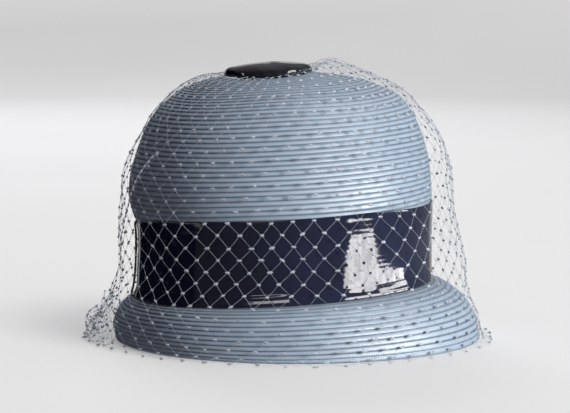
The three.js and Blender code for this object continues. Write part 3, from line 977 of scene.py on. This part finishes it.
for o, node, slot in ((crown, "crown", "straw"), (brim, "brim", "straw"), (band, "band", "patent"),
                      (tab, "back_tab", "patent"), (button, "top_button", "patent"),
                      (threads, "veil", "net")):
    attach(o, "root")
    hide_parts(node)
for o in (ties, gather):
    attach(o, "root")


# --------------------------------------------------------------------- stage
def make_stage():
    R = 48
    verts, faces = [], []
    prof = [(0.0, 0.0), (0.6, 0.0), (1.4, 0.0), (2.3, 0.0), (2.7, 0.03), (3.05, 0.13), (3.35, 0.33),
            (3.55, 0.62), (3.65, 1.0), (3.68, 2.0), (3.68, 3.4)]
    verts.append((0, 0, 0))
    for r, z in prof[1:]:
        for i in range(R):
            t = i / R * TAU
            verts.append((r * math.cos(t), r * math.sin(t), z))
    for i in range(R):
        faces.append((0, 1 + i, 1 + (i + 1) % R))
    for k in range(len(prof) - 2):
        for i in range(R):
            j = (i + 1) % R
            faces.append((1 + k * R + i, 1 + (k + 1) * R + i, 1 + (k + 1) * R + j, 1 + k * R + j))
    me = bpy.data.meshes.new("floor")
    me.from_pydata(verts, [], faces)
    me.polygons.foreach_set("use_smooth", [True] * len(me.polygons))
    ob = bpy.data.objects.new("floor", me)
    scene.collection.objects.link(ob)
    m = Tree("floor")
    obj = m.node("ShaderNodeTexCoord").outputs["Object"]
    n = m.noise(obj, 3.0, 2.0)
    pale = m.mix(n, (0.60, 0.597, 0.588, 1), (0.63, 0.627, 0.618, 1))
    m.link(pale, m.bsdf.inputs["Base Color"])
    m.link(pale, m.bsdf.inputs["Emission Color"])
    far = m.node("ShaderNodeVectorMath", operation="LENGTH")
    m.link(obj, far.inputs[0])
    m.link(m.span(far.outputs["Value"], 2.3, 3.7, 0.37, 0.90), m.bsdf.inputs["Emission Strength"])
    m.bsdf.inputs["Roughness"].default_value = 0.85
    m.bsdf.inputs["Specular IOR Level"].default_value = 0.0
    m.mat.cycles.emission_sampling = "NONE"
    me.materials.append(m.mat)
    ob.visible_diffuse = False
    ob.visible_glossy = False
    ob.visible_shadow = False
    return ob


def area(name, place, aim, size, power, colour=(1, 1, 1)):
    data = bpy.data.lights.new(name, "AREA")
    data.shape = "RECTANGLE"
    data.size, data.size_y = size
    data.energy = power
    data.color = colour
    ob = bpy.data.objects.new(name, data)
    ob.location = place
    ob.rotation_mode = "QUATERNION"
    ob.rotation_quaternion = (Vector(aim) - Vector(place)).to_track_quat("-Z", "Y")
    ob.visible_camera = False
    scene.collection.objects.link(ob)
    return ob


centre = (0, 0, 0.09)


def around(azimuth, elevation, distance):
    """A place seen from the hat's middle: azimuth from +X towards +Y, in degrees."""
    z, e = math.radians(azimuth), math.radians(elevation)
    return (distance * math.cos(e) * math.cos(z), distance * math.cos(e) * math.sin(z),
            0.09 + distance * math.sin(e))


def only_on(light, name, objects):
    """The light falls on these objects alone."""
    group = bpy.data.collections.new(name)
    for o in objects:
        group.objects.link(o)
    light.light_linking.receiver_collection = group


floor = make_stage()
window = area("window", around(-39, 14, 2.2), centre, (0.75, 0.75), 86, (1.0, 0.985, 0.965))
only_on(window, "matt", [crown, brim, threads, ties, gather])
ground = area("ground", around(-42, 50, 2.7), centre, (1.1, 1.1), 34, (1.0, 0.995, 0.985))
only_on(ground, "ground_pieces", [floor])
soft = area("soft", around(-31, 13, 2.2), centre, (0.8, 0.8), 84, (1.0, 0.985, 0.965))
soft.visible_glossy = False
only_on(soft, "patent_pieces", [band, tab, button])
sky = area("sky", (0.25, 0.1, 2.3), centre, (1.8, 1.8), 12, (0.93, 0.965, 1.0))
back = area("back", around(102, 34, 2.4), centre, (1.2, 1.2), 20, (0.95, 0.975, 1.0))
glint = area("glint", around(-112, 20, 1.6), centre, (0.5, 0.5), 5, (1.0, 1.0, 1.0))
only_on(glint, "net_pieces", [threads, ties, gather])

for lamp in (sky, back):
    lamp.visible_glossy = False

EYE = np.array(scene.camera.location) * 1000 - (SHIFT, 0, 0)


def mirrored(p, n, distance):
    """Where the camera's ray to p goes after the surface with normal n, in metres."""
    n = n / np.linalg.norm(n)
    d = p - EYE
    d = d / np.linalg.norm(d)
    return (p + (d - 2 * d.dot(n) * n) * distance * 1000 + (SHIFT, 0, 0)) * 0.001


def on_band(x, z, tilt=0.0, near=True):
    """Point and normal of the band's outer face at x and height z, tilt in degrees up."""
    half, wide = (85.3 + 99.9) / 2 - RECESS + PATENT + GAP, 84.6 - RECESS + PATENT + GAP
    c = np.clip((x - (85.3 - 99.9) / 2) / half, -1, 1)
    a = -math.acos(c)
    n = np.array([math.cos(a) / half, math.sin(a) / wide, 0]); n /= np.linalg.norm(n)
    t = math.radians(tilt)
    return np.array([x, wide * math.sin(a), z]), n * math.cos(t) + np.array([0, 0, math.sin(t)])


def glow(name, verts, faces, strength, objects):
    """A bright card that only the patent mirrors; it lights nothing else."""
    me = bpy.data.meshes.new(name)
    me.from_pydata([tuple(v) for v in verts], [], faces)
    ob = bpy.data.objects.new(name, me)
    scene.collection.objects.link(ob)
    m = Tree(name)
    m.bsdf.inputs["Base Color"].default_value = (0, 0, 0, 1)
    m.bsdf.inputs["Specular IOR Level"].default_value = 0.0
    m.bsdf.inputs["Emission Color"].default_value = (1.0, 0.99, 0.985, 1)
    cloudy = m.noise(m.node("ShaderNodeTexCoord").outputs["Object"], 90.0, 3.0, 0.6)
    m.link(m.span(cloudy, 0.36, 0.60, 0.60 * strength, strength), m.bsdf.inputs["Emission Strength"])
    me.materials.append(m.mat)
    ob.visible_camera = False
    ob.visible_diffuse = False
    ob.visible_transmission = False
    ob.visible_shadow = False
    only_on(ob, name + "_on", objects)


# the bright window that the patent mirrors: its outline is given where it is seen
# on the band, as x and height in the hat's frame
WINDOW = [(30.0, 76.5), (43.0, 76.5), (45.0, 69.0), (47.5, 61.0), (52.0, 56.0), (59.0, 52.5), (65.0, 50.0),
          (66.0, 22.0), (40.0, 22.0), (27.0, 22.0), (26.0, 50.0), (28.0, 70.0)]
pts = [mirrored(*on_band(x, z), 0.16) for x, z in WINDOW]
k = len(pts)
glow("card", pts + [np.mean(pts, axis=0)], [(k, i, (i + 1) % k) for i in range(k)], 24.0, [band])
# its foot, seen on the flare above the lower edge
pts = [mirrored(*on_band(x, 33.5 + 0.055 * (x - 50), t), 0.6) for x in (47, 53, 59, 66) for t in (8.2, 15)]
glow("card_foot", pts, [(2 * i, 2 * i + 2, 2 * i + 3, 2 * i + 1) for i in range(3)], 20.0, [band])
# thin strip along the folded lower edge, towards the front
pts = [mirrored(*on_band(x, 35.0 + 0.055 * (x - 50), t), 0.10) for x in (48, 56, 64, 71, 77, 81, 84, 85.2) for t in (-9, -36)]
glow("edge_card", pts, [(2 * i, 2 * i + 2, 2 * i + 3, 2 * i + 1) for i in range(7)], 12.0, [band])
# the two short streaks on the pleat low on the side
for name, lo, hi in (("streak_card", 13, 17.5), ("streak_card_low", -17.5, -13)):
    pts = [mirrored(*on_band(x, 38.5, t), 0.4) for x in (-32, -24, -16, -8) for t in (lo, hi)]
    glow(name, pts, [(2 * i, 2 * i + 2, 2 * i + 3, 2 * i + 1) for i in range(3)], 12.0, [band])
# dull light on the fold under the upper edge, towards the back
pts = [mirrored(*on_band(x, 74.0, t), 0.08) for x in (-94, -86, -78, -68, -58) for t in (8, 18)]
glow("fold_card", pts, [(2 * i, 2 * i + 2, 2 * i + 3, 2 * i + 1) for i in range(4)], 2.2, [band])
# glints on the button's rim
for name, az, tilt, spread, strength in (("button_card", -62, 24, 9, 18.0), ("button_card_low", -125, 20, 5, 7.0)):
    pts = []
    for da in (-spread / 2, spread / 2):
        for t in (tilt - 9, tilt + 9):
            a, e = math.radians(az + da), math.radians(t)
            p = np.array([BUTTON_X + BUTTON_R * math.cos(a), BUTTON_R * math.sin(a), 167.5])
            pts.append(mirrored(p, np.array([math.cos(a) * math.cos(e), math.sin(a) * math.cos(e), math.sin(e)]), 0.4))
    glow(name, pts, [(0, 2, 3, 1)], strength, [button])

# the pale backdrop that the patent mirrors at its ends, and a black flag beside it
pts = [(1.3 * math.cos(math.radians(az)), 1.3 * math.sin(math.radians(az)), z)
       for az in range(58, 122, 6) for z in (-0.7, 0.5)]
glow("backdrop_card", pts, [(2 * i, 2 * i + 2, 2 * i + 3, 2 * i + 1) for i in range(10)], 0.75, [band, tab, button])
pts = [(1.5 * math.cos(math.radians(az)), 1.5 * math.sin(math.radians(az)), z)
       for az in range(116, 212, 8) for z in (-0.9, 1.1)]
me = bpy.data.meshes.new("flag")
me.from_pydata(pts, [], [(2 * i, 2 * i + 2, 2 * i + 3, 2 * i + 1) for i in range(11)])
flag = bpy.data.objects.new("flag", me)
scene.collection.objects.link(flag)
m = Tree("flag")
m.bsdf.inputs["Base Color"].default_value = (0, 0, 0, 1)
m.bsdf.inputs["Specular IOR Level"].default_value = 0.0
me.materials.append(m.mat)
flag.visible_camera = flag.visible_diffuse = flag.visible_transmission = flag.visible_shadow = False

world = bpy.data.worlds.new("world")
scene.world = world
world.use_nodes = True
wt = world.node_tree
bg = wt.nodes["Background"]
coord = wt.nodes.new("ShaderNodeTexCoord")
split = wt.nodes.new("ShaderNodeSeparateXYZ")
wt.links.new(coord.outputs["Generated"], split.inputs[0])
tilt = wt.nodes.new("ShaderNodeMath"); tilt.operation = "MULTIPLY_ADD"
wt.links.new(split.outputs[1], tilt.inputs[0])
tilt.inputs[1].default_value = -0.3
wt.links.new(split.outputs[0], tilt.inputs[2])
ramp = wt.nodes.new("ShaderNodeMapRange")
wt.links.new(tilt.outputs[0], ramp.inputs[0])
ramp.inputs[1].default_value, ramp.inputs[2].default_value = -0.6, 0.9
ramp.inputs[3].default_value, ramp.inputs[4].default_value = 0.17, 0.42
wt.links.new(ramp.outputs[0], bg.inputs[1])
tint = wt.nodes.new("ShaderNodeMapRange"); tint.data_type = "FLOAT_VECTOR"
low, high = (0.99, 0.86, 0.95), (0.90, 0.93, 1.0)
wt.links.new(tilt.outputs[0], tint.inputs["Vector"])
for end, value in (("From Min", (-0.6,) * 3), ("From Max", (0.5,) * 3), ("To Min", low), ("To Max", high)):
    [i for i in tint.inputs if i.name == end and i.type == "VECTOR"][0].default_value = value
wt.links.new(tint.outputs["Vector"], bg.inputs[0])

scene.view_settings.view_transform = "Standard"
scene.view_settings.look = "None"
